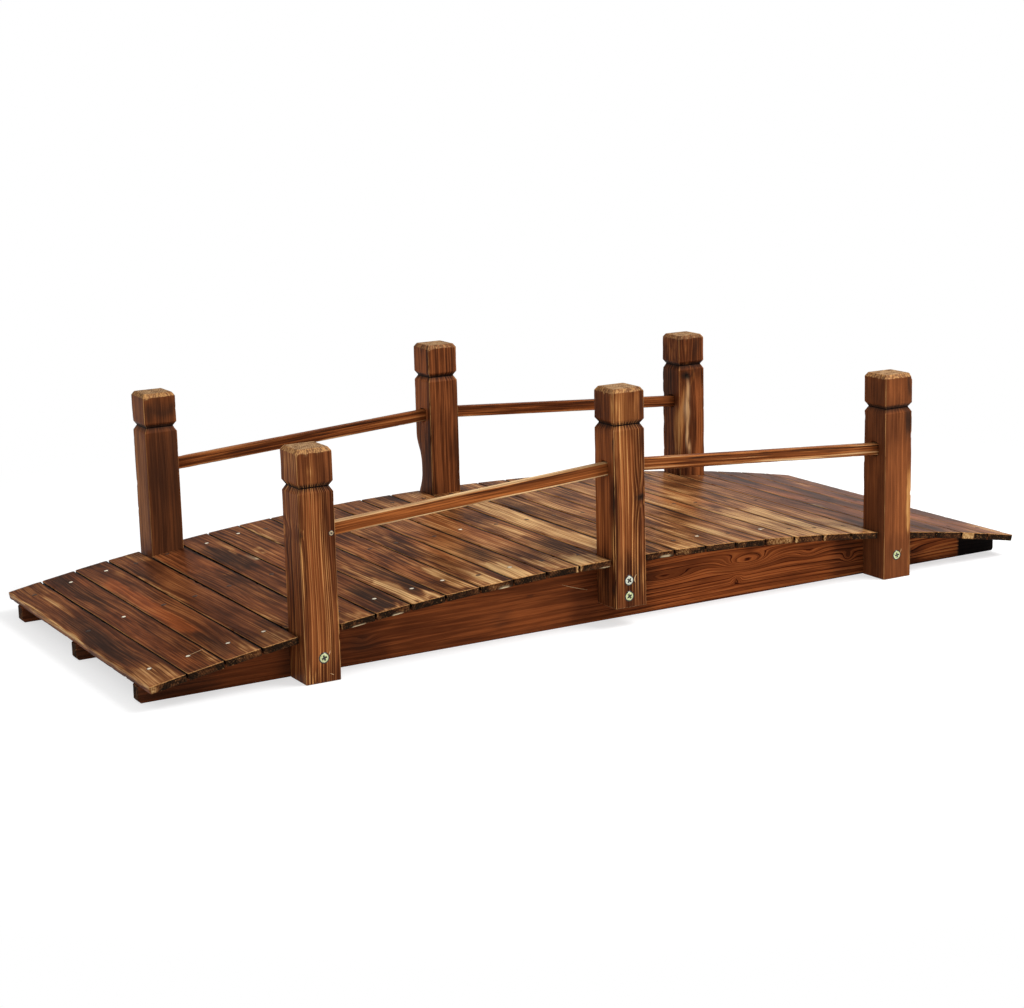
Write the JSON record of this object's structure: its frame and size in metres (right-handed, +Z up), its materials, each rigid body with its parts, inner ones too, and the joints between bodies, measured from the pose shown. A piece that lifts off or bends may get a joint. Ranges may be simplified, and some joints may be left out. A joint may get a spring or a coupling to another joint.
{
  "type": "moon bridge",
  "caption": "Small arched timber footbridge: cross boards laid over three curved-top stringers, with grooved square posts and straight sloping handrails let into them.",
  "frame": {"origin": "centre of the footprint, on the ground that the bridge stands on", "axes": "+X along the bridge, +Y across it to the back, +Z up"},
  "size_m": [1.5234, 0.634, 0.362],
  "materials": {
    "deck_wood": "satin",
    "post_wood": "satin",
    "rail_wood": "satin",
    "stringer_wood": "satin"
  },
  "bodies": {
    "root": {"deck_board_01": "deck_wood", "deck_board_02": "deck_wood", "deck_board_03": "deck_wood", "deck_board_04": "deck_wood", "deck_board_05": "deck_wood", "deck_board_06": "deck_wood", "deck_board_07": "deck_wood", "deck_board_08": "deck_wood", "deck_board_09": "deck_wood", "deck_board_10": "deck_wood", "deck_board_11": "deck_wood", "deck_board_12": "deck_wood", "deck_board_13": "deck_wood", "deck_board_14": "deck_wood", "deck_board_15": "deck_wood", "deck_board_16": "deck_wood", "deck_board_17": "deck_wood", "deck_board_18": "deck_wood", "deck_board_19": "deck_wood", "deck_board_20": "deck_wood", "deck_board_21": "deck_wood", "deck_board_22": "deck_wood", "deck_board_23": "deck_wood", "deck_board_24": "deck_wood", "deck_board_25": "deck_wood", "deck_board_26": "deck_wood", "deck_board_27": "deck_wood", "handrail_back_left": "rail_wood", "handrail_back_right": "rail_wood", "handrail_front_left": "rail_wood", "handrail_front_right": "rail_wood", "post_back_left": "post_wood", "post_back_middle": "post_wood", "post_back_right": "post_wood", "post_front_left": "post_wood", "post_front_middle": "post_wood", "post_front_right": "post_wood", "stringer_back": "stringer_wood", "stringer_front": "stringer_wood", "stringer_middle": "stringer_wood"}
  },
  "joints": []
}
